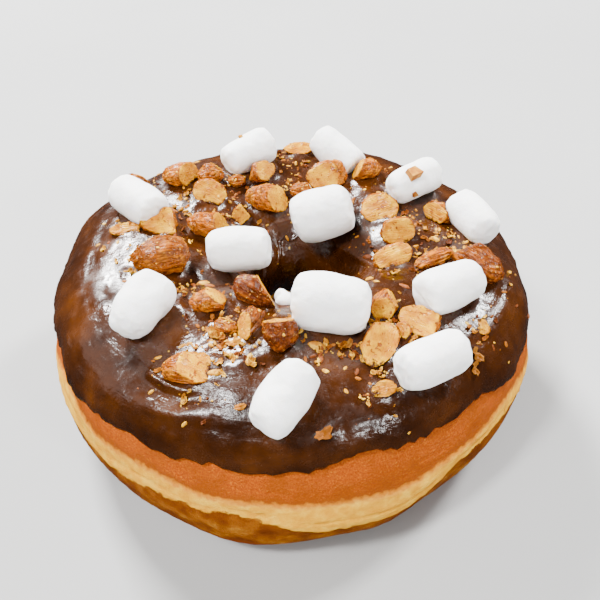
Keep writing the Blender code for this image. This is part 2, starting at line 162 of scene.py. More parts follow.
def ramp(tree, factor, *stops):
    """A colour ramp through (position, red, green, blue) stops."""
    output = add(tree, "ValToRGB", {"Fac": factor})
    elements = output.node.color_ramp.elements
    while len(elements) < len(stops):
        elements.new(0.5)
    for element, (position, *colour) in zip(elements, stops):
        element.position = position
        element.color = (*colour, 1.0)
    return output


def between(tree, value, low, high, start=0.0, end=1.0):
    """value, as it goes from low to high, turned into start to end."""
    sockets = {"Value": value, "From Min": low, "From Max": high, "To Min": start, "To Max": end}
    return add(tree, "MapRange", sockets)


def mix(tree, factor, first, second, way="MIX"):
    """Two colours mixed by a factor."""
    return add(tree, "MixRGB", {"Fac": factor, "Color1": first, "Color2": second}, blend_type=way)


def sums(tree, first, second, way="ADD"):
    """Two values added, multiplied or compared."""
    return add(tree, "Math", {0: first, 1: second}, operation=way)


def attribute(tree, name):
    """A number that the mesh carries at each vertex."""
    return add(tree, "Attribute", {}, "Fac", attribute_name=name)


def bump(tree, shader, height, depth, strength=1.0):
    """Relief too fine for the mesh: height is 0 to 1 and depth is in millimetres."""
    normal = add(tree, "Bump", {"Height": height, "Distance": depth * MM, "Strength": strength})
    tree.links.new(normal, shader.inputs["Normal"])


def into(tree, output, shader, socket):
    """Links an output to one of the shader's sockets."""
    tree.links.new(output, shader.inputs[socket])


print("shader helpers ready")

# %% [markdown]
# The floor is a pale, dull sheet. The backdrop is the world's colour, which is bright only where the camera
# sees it: as a light it is much weaker, because the panels do that work.

# %% Floor and backdrop
FLOOR_TONES = ((0.3, 0.33, 0.33, 0.326), (0.7, 0.355, 0.355, 0.351))
SKY_COLOUR = (0.95, 0.97, 1.0, 1.0)
SKY_LIGHT, SKY_SEEN = 0.08, 1.3

floor_material, tree, shader = new_material("studio floor", Roughness=0.9)
into(tree, ramp(tree, grain(tree, 120), *FLOOR_TONES), shader, "Base Color")
floor.data.materials.append(floor_material)
world = bpy.data.worlds.new("studio")
bpy.context.scene.world = world
world.use_nodes = True
sky = world.node_tree.nodes["Background"]
sky.inputs["Color"].default_value = SKY_COLOUR
seen = add(world.node_tree, "LightPath", {}, "Is Camera Ray")
into(world.node_tree, between(world.node_tree, seen, 0.0, 1.0, SKY_LIGHT, SKY_SEEN), sky, "Strength")
print("floor and backdrop painted")

# %% [markdown]
# ## Helpers for modelling
# Operators act on everything that is selected, so each one starts from a clean selection. A finished piece
# rides on the one body and, where it stands for a node, hides that node.


# %% Modelling helpers
def only(piece):
    """Selects one piece and makes it active."""
    bpy.ops.object.select_all(action="DESELECT")
    piece.select_set(True)
    bpy.context.view_layer.objects.active = piece


def apply(piece, kind, **values):
    """Adds one modifier, sets its values and applies it."""
    modifier = piece.modifiers.new(kind.lower(), kind)
    for name, value in values.items():
        setattr(modifier, name, value)
    only(piece)
    bpy.ops.object.modifier_apply(modifier=modifier.name)


def edit(piece, *steps):
    """Runs mesh operators on a whole piece in edit mode: each step is an operator and its values."""
    only(piece)
    bpy.ops.object.mode_set(mode="EDIT")
    bpy.ops.mesh.select_all(action="SELECT")
    for operator, values in steps:
        operator(**values)
    bpy.ops.object.mode_set(mode="OBJECT")


def lift(piece, height_at):
    """Moves each vertex along its normal by height_at(place, normal), in millimetres."""
    mesh = piece.data
    places = [vertex.co.copy() for vertex in mesh.vertices]
    normals = [vertex.normal.copy() for vertex in mesh.vertices]
    for vertex, place, normal in zip(mesh.vertices, places, normals):
        vertex.co = place + normal * height_at(place / MM, normal) * MM
    mesh.update()


def note(piece, name, values):
    """Stores one number at each vertex, for the shader to read."""
    layer = piece.data.attributes.new(name, "FLOAT", "POINT")
    layer.data.foreach_set("value", np.asarray(list(values), np.float32))


def note_vectors(piece, name, vectors):
    """Stores one vector at each vertex, for the shader to read as coordinates."""
    layer = piece.data.attributes.new(name, "FLOAT_VECTOR", "POINT")
    layer.data.foreach_set("vector", np.array(vectors, np.float32).ravel())


def dress(piece, material, slot, *replaced, smooth=True):
    """Gives a finished piece its material and its place in the model."""
    piece.data.materials.clear()
    piece.data.materials.append(material)
    piece.data.polygons.foreach_set("use_smooth", [smooth] * len(piece.data.polygons))
    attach(piece, "root")
    if replaced:
        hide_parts(*replaced)


print("helpers ready")

# %% [markdown]
# ## The ring's form
# The dough's section is a superellipse: a rounded box that is fuller than an ellipse, as raised dough is.
# The hole lies a little to one side, and the outline swells where the dough proved unevenly. The same
# numbers shape the model's solids, so the fine surfaces lie exactly on them.

# %% The ring in numbers
OUTER_RADIUS = 50.0
HOLE_RADIUS = 10.0
HOLE_SHIFT = 3.0
DOUGH_HEIGHT = 36.0
EQUATOR_HEIGHT = 16.5
LOWER_DEPTH = 17.2
FULLNESS = 2.5
LOWER_FULLNESS = 2.75
BULGES = ((152.0, 2.2, 15.0), (205.0, -0.7, 14.0), (302.0, -0.8, 12.0), (342.0, 1.1, 9.0))
FOOT_BULGES = ((258.0, 3.4, 15.0), (289.0, 1.6, 7.0))
BAND_HEIGHT, BAND_WIDTH, BAND_SWELL = 14.5, 3.4, 0.7
ICING_GAP = 0.3
ICING_THICKNESS = 2.2
ICING_OUTER_EDGE, ICING_INNER_EDGE = 26.7, 18.5
EDGE_DIPS = (
    (219.0, -1.1, 9.0), (258.0, -0.5, 8.0), (284.0, 1.0, 10.0), (331.0, -2.2, 10.0), (120.0, 1.2, 30.0),
)
EDGE_RIPPLE = 0.45
ICING_WAVE = 0.35


def away(angle, centre):
    """How far an angle is from a centre, the short way round, in degrees."""
    return (angle - centre + 180.0) % 360.0 - 180.0


def bells(angle, bumps):
    """The sum of smooth bumps round the ring, each an angle, a height and a spread."""
    return sum(height * math.exp(-((away(angle, centre) / spread) ** 2)) for centre, height, spread in bumps)


def signed_power(value, power):
    """value to a power, with its sign kept."""
    return math.copysign(abs(value) ** power, value)


@functools.cache
def ring_ends(angle):
    """The radius of the outside and of the hole at an angle, and the swell of the foot there."""
    turn = math.radians(angle)
    hole = HOLE_SHIFT * math.cos(turn) + math.sqrt(HOLE_RADIUS**2 - (HOLE_SHIFT * math.sin(turn)) ** 2)
    return OUTER_RADIUS + bells(angle, BULGES), hole, bells(angle, FOOT_BULGES)


def ring_point(angle, turn, grow):
    """A point grow millimetres outside the dough. turn goes round the section from its outer side, up."""
    outside, hole, sag = ring_ends(angle)
    fullness = FULLNESS if math.sin(turn) >= 0 else LOWER_FULLNESS
    across = signed_power(math.cos(turn), 2 / fullness)
    up = signed_power(math.sin(turn), 2 / fullness)
    if up >= 0:
        height = EQUATOR_HEIGHT + (DOUGH_HEIGHT - EQUATOR_HEIGHT + grow) * up
    else:
        height = max(EQUATOR_HEIGHT + LOWER_DEPTH * up, 0.0)
    radius = (outside + hole) / 2 + ((outside - hole) / 2 + grow) * across
    if across > 0:
        radius += BAND_SWELL * math.exp(-(((height - BAND_HEIGHT) / BAND_WIDTH) ** 2))
        radius += sag * max(-up, 0.0) * across
    return Vector((radius * math.cos(math.radians(angle)), radius * math.sin(math.radians(angle)), height))


def turn_at_height(height):
    """The turn, on the section's upper outer side, at which the dough is that high."""
    share = (height - EQUATOR_HEIGHT) / (DOUGH_HEIGHT - EQUATOR_HEIGHT)
    return math.asin(min(1.0, max(0.0, share) ** (FULLNESS / 2)))


print("section at the front:", [round(value, 1) for value in ring_point(270.0, 0.5, 0.0)])

# %% [markdown]
# A torus is the natural start for both rings: its vertices already run round the ring and round the section.
# Each is then moved to its place by its angle and its share of the way round the section. Most of the loops
# are spent where the surface shows, because the dough under the icing is never seen.


# %% A moulded ring
def ring(name, around, across, place):
    """A torus whose vertices are moved to place(angle in degrees, share round the section)."""
    bpy.ops.object.select_all(action="DESELECT")
    bpy.ops.mesh.primitive_torus_add(
        major_segments=around, minor_segments=across, major_radius=1.0, minor_radius=0.5
    )
    piece = bpy.context.object
    piece.name = name
    for vertex in piece.data.vertices:
        x, y, z = vertex.co
        angle = round(math.degrees(math.atan2(y, x)) % 360.0, 3)
        share = (math.atan2(z, math.hypot(x, y) - 1.0) / math.tau) % 1.0
        vertex.co = place(angle, share) * MM
    piece.data.update()
    print(name, len(piece.data.polygons) * 2, "triangles")
    return piece


# %% [markdown]
# ## The dough
# A ring doughnut floats in the oil and is turned once, so it browns above and below and keeps a pale band
# round its waist. The band is soft dough that stretched as it rose: it bulges a little, creases along its
# length, and tears away from the lower crust in a ragged line. The crust itself is finely pebbled.

# %% Dough in numbers
DOUGH_SHARES = (0.0, 0.22, 0.27, 0.48, 1.0)
DOUGH_TURNS = (0.0, 0.62, 2.95, 5.15, math.tau)
BAND_TOP, BAND_BOTTOM = 19.4, 15.9
BAND_TOP_SWELLS = ((207.0, 5.0, 12.0), (236.0, 2.6, 13.0), (300.0, -1.2, 14.0), (322.0, 1.2, 10.0))
BAND_BOTTOM_SWELLS = ((242.0, 0.9, 20.0), (316.0, 0.9, 14.0))
BAND_DROP, DROP_ANGLE, DROP_SPREAD = 4.8, 285.0, 18.0
BAND_RISE = 0.42
CREASE_DEPTH, CREASE_WIDTH = 0.65, 0.28
TEAR_WIDTH = 0.22
FOOT_FLAT = 0.6


def band_limits(angle):
    """The height of the pale band's upper and lower edge at an angle."""
    turn = math.radians(angle)
    sway = 0.35 * math.sin(7 * turn + 1.0) + 0.25 * math.sin(17 * turn)
    top = BAND_TOP + bells(angle, BAND_TOP_SWELLS) + sway
    drop = BAND_DROP * math.exp(-((away(angle, DROP_ANGLE) / DROP_SPREAD) ** 4))
    bottom = BAND_BOTTOM + bells(angle, BAND_BOTTOM_SWELLS) - drop + 0.6 * sway
    return top, bottom


print("the band at the front is between", [round(height, 1) for height in band_limits(270.0)], "mm high")


# %% Dough ring
def dough_place(angle, share):
    """Where the dough's vertex goes."""
    return ring_point(angle, float(np.interp(share, DOUGH_SHARES, DOUGH_TURNS)), 0.0)


def angle_of(place):
    """The angle of a place on the plan, in degrees."""
    return math.degrees(math.atan2(place.y, place.x)) % 360.0


def crease_at(place, angle, top, bottom):
    """The crease that runs along the band, from 0 to 1."""
    middle = (top + bottom) / 2 - 0.6 + 0.8 * noise.noise(Vector((angle * 0.05, 4.0, 1.0)))
    strength = 0.65 + 0.8 * noise.noise(Vector((angle * 0.12, 0.0, 9.0)))
    return max(0.0, strength) * math.exp(-(((place.z - middle) / CREASE_WIDTH) ** 2))


def dough_relief(place, normal):
    """The dough's lumps, the band's creases and the step at its torn lower edge."""
    angle = angle_of(place)
    top, bottom = band_limits(angle)
    height = 0.35 * noise.noise(place * 0.07)
    if place.z < FOOT_FLAT:
        return 0.0
    along = Vector((angle * 0.11, place.z * 0.55, 3.0))
    ragged = 0.9 * noise.noise(Vector((angle * 0.35, 1.0, 5.0)))
    ragged += 0.5 * noise.noise(Vector((angle * 1.1, 7.0, 2.0)))
    step = 1.0 / (1.0 + math.exp(-(place.z - bottom - ragged) / TEAR_WIDTH))
    inside = step / (1.0 + math.exp((place.z - top) / 0.5))
    crease = crease_at(place, angle, top, bottom)
    lower = 1.0 / (1.0 + math.exp((place.z - (top + bottom) / 2 + 0.6) / 0.3))
    swell = BAND_RISE + 0.22 * noise.noise(along) + 0.10 * noise.noise(place * 0.9)
    height += inside * swell - CREASE_DEPTH * crease * inside
    height += inside * lower * 0.16 * noise.noise(Vector((angle * 0.9, place.z * 0.8, 2.0)))
    height += (1 - inside) * (0.12 * noise.noise(place * 0.8) + 0.035 * noise.noise(place * 2.4))
    return height


dough = ring("dough_ring", 600, 156, dough_place)
lift(dough, dough_relief)
limits = [(vertex.co.z / MM, *band_limits(angle_of(vertex.co))) for vertex in dough.data.vertices]
note(dough, "above_band", [height - top for height, top, bottom in limits])
note(dough, "below_band", [bottom - height for height, top, bottom in limits])
places = [vertex.co / MM for vertex in dough.data.vertices]
# the crease also masks the painted shade that darkens the band along it
note(dough, "crease", [crease_at(place, angle_of(place), *limit[1:]) for place, limit in zip(places, limits)])

# %% [markdown]
# The dough's colour follows the same two heights that its relief does. Noise makes the upper edge a soft
# toasted line and the lower one ragged. The crust is orange-brown and pebbled with small lighter grains,
# the band cream, darkened with painted shade along its crease, and the lower half a patchy gold.

# %% Dough finish
CRUST_TONES = (
    (0.34, 0.23, 0.034, 0.0), (0.50, 0.345, 0.060, 0.0), (0.64, 0.50, 0.115, 0.0), (0.74, 0.76, 0.36, 0.02),
)
CREAM_TONES = ((0.30, 0.57, 0.225, 0.002), (0.5, 0.70, 0.33, 0.008), (0.72, 0.80, 0.48, 0.04))
GOLD_TONES = (
    (0.34, 0.10, 0.019, 0.0), (0.46, 0.17, 0.041, 0.0), (0.58, 0.27, 0.083, 0.001), (0.70, 0.45, 0.20, 0.014),
)
TOAST_TONES = ((0.10, 0.62, 0.27, 0.03), (0.34, 0.50, 0.16, 0.003), (0.5, 0.24, 0.05, 0.001))
CRUST_SHADE = (0.22, 0.044, 0.0, 1)
CREASE_PAINTED_SHADE = (0.42, 0.15, 0.006, 1)
GOLD_SHADE = (0.14, 0.030, 0.0, 1)
FOOT_SHADE = (0.26, 0.036, 0.001, 1)

dough_skin, tree, shader = new_material(
    "fried dough",
    Specular_IOR_Level=0.2,
    IOR=1.3,
    Subsurface_Weight=0.05,
    Subsurface_Radius=(1.2, 0.5, 0.15),
    Subsurface_Scale=0.7 * MM,
)
above_band = attribute(tree, "above_band")
below_band = attribute(tree, "below_band")
fine = grain(tree, 0.3, 5.0, 0.65)
patches = grain(tree, 5.0, 5.0, 0.6)
crust = mix(tree, between(tree, patches, 0.40, 0.66, 0.0, 0.6), ramp(tree, fine, *CRUST_TONES), CRUST_SHADE)
cream = ramp(tree, grain(tree, 2.2, 6.0, 0.6), *CREAM_TONES)
# painted shade: the band is darkened along its crease, where shade would fall
cream = mix(tree, between(tree, attribute(tree, "crease"), 0.2, 0.9, 0.0, 0.75), cream, CREASE_PAINTED_SHADE)
gold = mix(tree, between(tree, fine, 0.4, 0.7, 0.1, 0.5), ramp(tree, patches, *GOLD_TONES), GOLD_SHADE)
gold = mix(tree, between(tree, below_band, 8.0, 13.0, 0.0, 0.8), gold, FOOT_SHADE)
ragged = sums(tree, between(tree, grain(tree, 2.5, 5.0, 0.65), 0.25, 0.75, -1.3, 1.3), below_band)
soft = sums(tree, between(tree, grain(tree, 1.2, 3.0), 0.25, 0.75, -0.5, 0.5), above_band)
toast = ramp(tree, between(tree, soft, -1.2, 2.4), *TOAST_TONES)
upper = mix(tree, between(tree, soft, -1.0, -0.3), cream, toast)
upper = mix(tree, between(tree, soft, 0.5, 2.2), upper, crust)
into(tree, mix(tree, between(tree, ragged, -0.25, 0.35), upper, gold), shader, "Base Color")
into(tree, between(tree, fine, 0.3, 0.7, 0.34, 0.6), shader, "Roughness")
pores = sums(tree, grain(tree, 0.13, 2.0), 0.35, "MULTIPLY")
bump(tree, shader, sums(tree, fine, pores), 0.20, 0.85)
dress(dough, dough_skin, "dough", "dough")
print("dough finished")

# %% [markdown]
# ## The icing
# The doughnut is dipped upside down and lifted out, so the icing drags into low folds that follow the ring,
# gathers in a rounded lip, and creeps a little up whatever was pressed into it. Air bubbles leave pits.


# %% Icing ring
OUTSIDE_SHARE = 0.88
EDGE_CROWDING = 0.06
HOLE_DRIP = 1.6


@functools.cache
def icing_turns(angle):
    """Where the icing starts on the outer side and where it ends in the hole, at an angle."""
    turn = math.radians(angle)
    ripple = EDGE_RIPPLE * (math.sin(13 * turn) + 0.6 * math.sin(23 * turn + 1.0))
    fine = 0.5 * noise.noise(Vector((angle * 0.4, 2.0, 0.0)))
    fine += 0.8 * noise.noise(Vector((angle * 0.75, 5.0, 0.0)))
    outer = turn_at_height(ICING_OUTER_EDGE + bells(angle, EDGE_DIPS) + ripple + fine)
    inner = math.pi - turn_at_height(ICING_INNER_EDGE - HOLE_DRIP + 0.8 * math.sin(4 * turn) + 0.4 * ripple)
    return outer, inner


def icing_cover(angle, turn):
    """The icing's thickness over the dough: full on top, with rounded lips, and gently wavy."""
    start, end = icing_turns(angle)
    share = (turn - start) / (end - start)
    lip = max(0.0, 1.0 - abs(2 * share - 1) ** 5) ** 0.5
    along = math.radians(angle)
    wave = ICING_WAVE * (math.sin(5 * along + 3 * turn) + math.sin(8 * along - 4 * turn + 2.0))
    return ICING_GAP + lip * (ICING_THICKNESS - ICING_GAP + wave * math.sin(turn) ** 2)


def icing_place(angle, share):
    """Most of the torus becomes the icing's outside, and the rest its hidden inside."""
    start, end = icing_turns(angle)
    if share <= OUTSIDE_SHARE:
        step = share / OUTSIDE_SHARE
        over = start + (end - start) * (step - EDGE_CROWDING * math.sin(math.tau * step))
        return ring_point(angle, over, icing_cover(angle, over))
    back = start + (end - start) * (1.0 - share) / (1.0 - OUTSIDE_SHARE)
    return ring_point(angle, back, ICING_GAP)


icing = ring("icing_coat", 470, 200, icing_place)

# %% [markdown]
# The relief is worked out at each vertex: long noise drawn out along the ring for the drag marks, a fillet
# where a topping is near, and a few folds along drawn lines, each of which ends in its rise and its width.
# Small pits are where bubbles burst, each a place, a size and a depth. One spot on the left set smooth.

# %% Folds, pits and toppings
FOLDS = (
    ((11.0, 8.3), (14.1, 3.6), (16.4, -2.0), (18.0, -5.7), (18.2, -12.4), 0.75, 0.55),
    ((-20.2, -15.0), (-19.9, -18.5), (-18.2, -24.3), 0.8, 0.8),
    ((-21.5, -31.0), (-17.0, -31.5), (-13.5, -29.0), (-12.5, -27.0), 0.5, 0.9),
    ((-14.0, -33.0), (-9.6, -35.5), (-6.8, -34.3), (-4.1, -33.5), (-1.5, -33.5), 0.55, 1.0),
    ((-20.0, 14.0), (-17.6, 16.4), (-14.0, 17.8), (-9.0, 16.0), 0.6, 1.0),
    ((-26.0, -38.0), (-20.0, -41.5), (-13.0, -42.0), 0.35, 1.0),
    ((5.0, -46.6), (6.2, -45.6), (6.6, -46.9), 0.9, 0.5),
    ((-24.4, -31.5), (-23.8, -34.2), (-21.2, -36.4), (-18.9, -37.7), (-16.0, -38.6), 1.15, 0.55),
    ((30.0, 30.0), (22.0, 36.0), (12.0, 40.0), 0.35, 1.4),
    ((-36.0, 26.0), (-26.0, 34.0), (-16.0, 40.0), 0.35, 1.4),
)
PITS = (
    (-32.3, -8.8, 0.55, 0.45), (-35.9, -25.0, 0.4, 0.3), (-34.6, -24.0, 0.3, 0.25), (-13.0, -33.5, 0.3, 0.35),
    (12.0, -41.0, 0.35, 0.3), (34.0, -6.0, 0.3, 0.3), (-27.0, 22.0, 0.35, 0.3), (4.0, 27.0, 0.3, 0.3),
    (-40.0, -2.0, 0.3, 0.25), (-22.0, -29.0, 0.3, 0.3), (38.0, 14.0, 0.35, 0.3), (0.0, 40.0, 0.3, 0.3),
)
STILL_SPOT, STILL_REACH = Vector((-34.0, -9.5)), 8.0
FILLET_RISE, FILLET_WIDTH, FILLET_REACH = 0.42, 0.75, 2.5
TOP_FROM = 20.0


def search_tree(meshes):
    """A tree that finds the nearest face of the meshes, or the first along a ray, in millimetres."""
    corners, faces = [], []
    for mesh in meshes:
        first = len(corners)
        corners += [vertex.co / MM for vertex in mesh.vertices]
        faces += [[first + index for index in face.vertices] for face in mesh.polygons]
    return BVHTree.FromPolygons(corners, faces)


toppings = search_tree([nodes[name].data for name in marshmallow_names + almond_names])
print(len(FOLDS), "folds and", len(PITS), "pits")


# %% Icing relief
def from_line(place, points):
    """The distance on the plan from a place to a line through points, and the share along it."""
    best = (99.0, 0.0)
    for index, (start, end) in enumerate(zip(points, points[1:])):
        run = Vector(end) - Vector(start)
        part = (place.xy - Vector(start)).dot(run) / run.length_squared
        part = min(max(part, 0.0), 1.0)
        gap = (place.xy - Vector(start) - run * part).length
        best = min(best, (gap, (index + part) / (len(points) - 1)))
    return best


def stillness(place):
    """1 where the icing set undisturbed, on the left shoulder, and 0 elsewhere."""
    return math.exp(-(((place.xy - STILL_SPOT).length / STILL_REACH) ** 4))


def icing_relief(place, normal):
    """How far the icing stands above its smooth form."""
    angle, radius = angle_of(place), math.hypot(place.x, place.y)
    level = max(normal.z, 0.0)
    drag = noise.noise(Vector((angle * 0.07, radius * 0.34, place.z * 0.2)))
    height = 0.34 * drag + 0.34 * noise.noise(place * 0.10)
    height += 0.20 * noise.noise(place * 0.27 + Vector((9, 0, 0)))
    sideways = noise.noise(place * 0.12), noise.noise(place * 0.12 + Vector((5, 5, 5))), 0.0
    warp = place + 2.0 * Vector(sideways)
    crease = 1.0 - min(1.0, abs(noise.noise(warp * 0.17 + Vector((0, 7, 0)))) * 7.0)
    height += 0.16 * crease**2 * max(0.0, noise.noise(place * 0.08 + Vector((3, 3, 3))) + 0.15) * 3.0
    streak = 0.06 * noise.noise(Vector((angle * 0.20, radius * 1.2, place.z)))
    streak += 0.055 * noise.noise(place * 0.8) + 0.026 * noise.noise(place * 1.9)
    height += streak * (1.0 - 0.85 * stillness(place))
    _, _, _, gap = toppings.find_nearest(place, FILLET_REACH)
    if gap is not None:
        height += FILLET_RISE * math.exp(-((gap / FILLET_WIDTH) ** 2)) * level
    for *points, rise, width in FOLDS:
        gap, share = from_line(place, points)
        if gap < 4 * width and place.z > TOP_FROM:
            fade = math.sin(math.pi * min(max(share, 0.06), 0.94)) ** 0.5
            height += rise * math.exp(-((gap / width) ** 2)) * fade
    for x, y, size, depth in PITS:
        gap = math.hypot(place.x - x, place.y - y) / size
        if gap < 3.0 and place.z > TOP_FROM:
            height += 0.35 * depth * math.exp(-((gap - 1.3) ** 2) * 6) - depth * math.exp(-(gap**4))
    return height


def flow_at(place):
    """Coordinates that run slowly round the ring and fast across it, for streaks that follow the dip."""
    turn = math.atan2(place.y, place.x)
    return 9.0 * math.cos(turn), 9.0 * math.sin(turn), math.hypot(place.x, place.y) * 1.6 - place.z * 1.2


lift(icing, icing_relief)
places = [vertex.co / MM for vertex in icing.data.vertices]
note(icing, "still", [stillness(place) for place in places])
note_vectors(icing, "flow", [flow_at(place) for place in places])
print("icing relief done")

# %% [markdown]
# Chocolate icing is a dark, smooth fat-and-sugar glaze. The base colour varies a little from thick to thin,
# and its gloss is broken by patches that have begun to dry and by specks of nut dust.

# %% Icing finish
ICING_TONES = (
    (0.30, 0.015, 0.0034, 0.0002), (0.50, 0.030, 0.0072, 0.0004), (0.70, 0.054, 0.0138, 0.0008),
)

glaze, tree, shader = new_material("chocolate icing", IOR=1.45)
into(tree, ramp(tree, grain(tree, 8.0, 4.0), *ICING_TONES), shader, "Base Color")
into(tree, between(tree, grain(tree, 3.0, 6.0, 0.68), 0.40, 0.68, 0.19, 0.34), shader, "Roughness")
along = add(tree, "Attribute", {}, "Vector", attribute_name="flow")
streaks = add(tree, "TexNoise", {"Vector": along, "Scale": 1.1, "Detail": 4.0, "Roughness": 0.6})
speckle = grain(tree, 0.55, 2.0, 0.5)
dimples = sums(tree, grain(tree, 1.7, 2.0, 0.5), 0.7, "MULTIPLY")
relief = sums(tree, sums(tree, speckle, sums(tree, streaks, 0.8, "MULTIPLY")), dimples)
calm = between(tree, grain(tree, 6.0, 3.0), 0.42, 0.56, 0.35, 1.0)
calm = sums(tree, calm, between(tree, attribute(tree, "still"), 0.0, 1.0, 1.0, 0.3), "MULTIPLY")
bump(tree, shader, sums(tree, relief, calm, "MULTIPLY"), 0.09, 0.9)
dress(icing, glaze, "icing", "icing")
print("icing finished")

# %% [markdown]
# ## Marshmallows
# Mini marshmallows are cut from a soft rope, so each is a short fat cylinder. The cut ends pinch in and the
# rims are round. The model's solids have twelve flat sides, so each is remeshed at a fine step and smoothed
# until its facets are gone. Low lumps then make every one different: SOFT_LUMPS gives their height and pitch.
# Some ends are rounder: ROUND_ENDS gives the rounds of smoothing, and the swell that makes up for them.


# %% Marshmallow helpers
def fine_copy(name, source):
    """A copy of a node with a welded mesh of its own."""
    piece = bpy.data.objects.new(name, nodes[source].data.copy())
    bpy.context.scene.collection.objects.link(piece)
    edit(piece, (bpy.ops.mesh.remove_doubles, {"threshold": 0.01 * MM}))
    return piece


def long_axis(piece):
    """The direction in which the piece is longest, and its middle, in millimetres."""
    corners = np.array([vertex.co for vertex in piece.data.vertices]) / MM
    middle = corners.mean(axis=0)
    _, _, directions = np.linalg.svd(corners - middle, full_matrices=False)
    return Vector(directions[0]), Vector(middle)


front_axis, _ = long_axis(nodes["marshmallow_front"])
print("the front marshmallow points along", [round(part, 2) for part in front_axis])

# %% Soft shapes in numbers
SOFT_LUMPS = {
    "marshmallow_left": (1.0, 0.17),
    "marshmallow_front": (0.6, 0.22),
    "marshmallow_scrap": (1.4, 0.34),
    "marshmallow_hole_back": (0.35, 0.16),
}
ROUND_ENDS = {
    "marshmallow_front": (300, 0.62),
    "marshmallow_left": (300, 0.20),
    "marshmallow_front_right": (160, 0.42),
    "marshmallow_right": (80, 0.38),
    "marshmallow_far_right": (80, 0.38),
    "marshmallow_back_right": (80, 0.38),
    "marshmallow_hole_left": (140, 0.42),
    "marshmallow_far_left": (60, 0.36),
    "marshmallow_back_left": (60, 0.36),
    "marshmallow_middle": (40, 0.33),
}
PLAIN_LUMPS = (0.30, 0.18)
PLAIN_ENDS = (14, 0.30)
RIM_CREASE = 0.36
SOFT_STEP = 0.27
SEAT_REACH = 0.5
icing_node = search_tree([nodes["icing"].data])
print(len(ROUND_ENDS), "marshmallows with rounder ends")


# %% Marshmallow pieces
def crease_rims(piece, axis, rim_crease):
    """Creases the edge of the part that lies on the icing fully, and the rims of the cut ends a little."""
    shape = bmesh.new()
    shape.from_mesh(piece.data)
    crease = shape.edges.layers.float.new("crease_edge")
    gaps = {face: icing_node.find_nearest(face.calc_center_median() / MM)[3] for face in shape.faces}
    seated = {face: gap < SEAT_REACH for face, gap in gaps.items()}
    for edge in shape.edges:
        if len({seated[face] for face in edge.link_faces}) == 2:
            edge[crease] = 1.0
        elif len({abs(face.normal.dot(axis)) > 0.93 for face in edge.link_faces}) == 2:
            edge[crease] = rim_crease
    shape.to_mesh(piece.data)
    shape.free()


soft_pieces = []
for number, name in enumerate(marshmallow_names):
    piece = fine_copy(name + "_soft", name)
    axis, middle = long_axis(piece)
    edit(piece, (bpy.ops.mesh.dissolve_limited, {"angle_limit": math.radians(1.0)}))
    crease_rims(piece, axis, 0.0 if name in ROUND_ENDS else RIM_CREASE)
    apply(piece, "SUBSURF", levels=3, render_levels=3)
    apply(piece, "REMESH", mode="VOXEL", voxel_size=SOFT_STEP * MM)
    rounds, swell = ROUND_ENDS.get(name, PLAIN_ENDS)
    apply(piece, "SMOOTH", factor=0.5, iterations=rounds)
    lumps, pitch = SOFT_LUMPS.get(name, PLAIN_LUMPS)
    seed = Vector((number * 7.3, 2.0, 5.0))

    def soft_relief(place, normal):
        """Slow lumps, a dimple in each cut end, and puckers round the rims."""
        out = place - middle
        side = (out - axis * out.dot(axis)).length
        end = min(1.0, max(0.0, abs(normal.dot(axis)) * 1.6 - 0.5))
        rim = math.exp(-(((abs(normal.dot(axis)) - 0.6) / 0.25) ** 2))
        height = swell + lumps * noise.noise(place * pitch + seed) + 0.14 * noise.noise(place * 0.42 + seed)
        pucker = noise.noise(place * 0.8 + seed)
        height += 0.045 * noise.noise(place * 1.3 + seed) + rim * (0.10 + 0.20 * pucker)
        return height - 0.50 * end * math.exp(-((side / 2.4) ** 2)) + 0.15 * end * pucker

    lift(piece, soft_relief)
    soft_pieces.append(piece)
print(len(soft_pieces), "marshmallows,", sum(len(piece.data.polygons) for piece in soft_pieces), "faces")

# %% [markdown]
# The foam is nearly white and lets light in a little way, which softens its shadows. It is dusted with
# starch, so it is dull and has a fine, powdery grain.

# %% Marshmallow finish
WHITE_TONES = ((0.35, 0.90, 0.89, 0.86), (0.65, 0.96, 0.955, 0.94))

soft_white, tree, shader = new_material(
    "marshmallow",
    Roughness=0.6,
    IOR=1.38,
    Subsurface_Weight=0.3,
    Subsurface_Radius=(1.0, 0.8, 0.6),
    Subsurface_Scale=0.9 * MM,
)
into(tree, ramp(tree, grain(tree, 2.5, 3.0), *WHITE_TONES), shader, "Base Color")
powder = sums(tree, grain(tree, 0.25, 3.0), sums(tree, grain(tree, 1.1, 4.0), 1.3, "MULTIPLY"))
bump(tree, shader, powder, 0.10, 0.55)
for piece, name in zip(soft_pieces, marshmallow_names):
    dress(piece, soft_white, "marshmallow", name)
print("marshmallows finished")

# %% [markdown]
# ## Almonds
# A roasted almond is creamy inside and has a thin, wrinkled, red-brown skin. Chopping leaves flat pale faces
# with sharp rims beside rounded skin. The node's coplanar triangles are joined first, which shows the knife's
# faces as large polygons. Their rims are creased, so a subdivision surface rounds the skin and keeps the cuts
# flat and crisp.

# %% Almond helpers
FLESH_SHARE = 0.13
UNDERSIDE = -0.35
KNIFE_CREASE = 0.92
CUT_REACH = 0.16
SMEAR_REACH = 0.9
CHIPPING, SPLIT_CHIPPING = 0.85, 0.2


def knife_faces(piece):
    """The middle and normal of each large flat face that isn't the underside, with its rim creased."""
    shape = bmesh.new()
    shape.from_mesh(piece.data)
    shape.normal_update()
    crease = shape.edges.layers.float.get("crease_edge") or shape.edges.layers.float.new("crease_edge")
    total = sum(face.calc_area() for face in shape.faces)
    cuts = []
    for face in shape.faces:
        if face.calc_area() > FLESH_SHARE * total and face.normal.z > UNDERSIDE:
            cuts.append((face.calc_center_median().copy() / MM, face.normal.copy()))
            for edge in face.edges:
                edge[crease] = KNIFE_CREASE
    shape.to_mesh(piece.data)
    shape.free()
    return cuts


def is_cut(place, cuts):
    """True on one of the knife's faces."""
    return any(abs((place - middle).dot(normal)) < CUT_REACH for middle, normal in cuts)


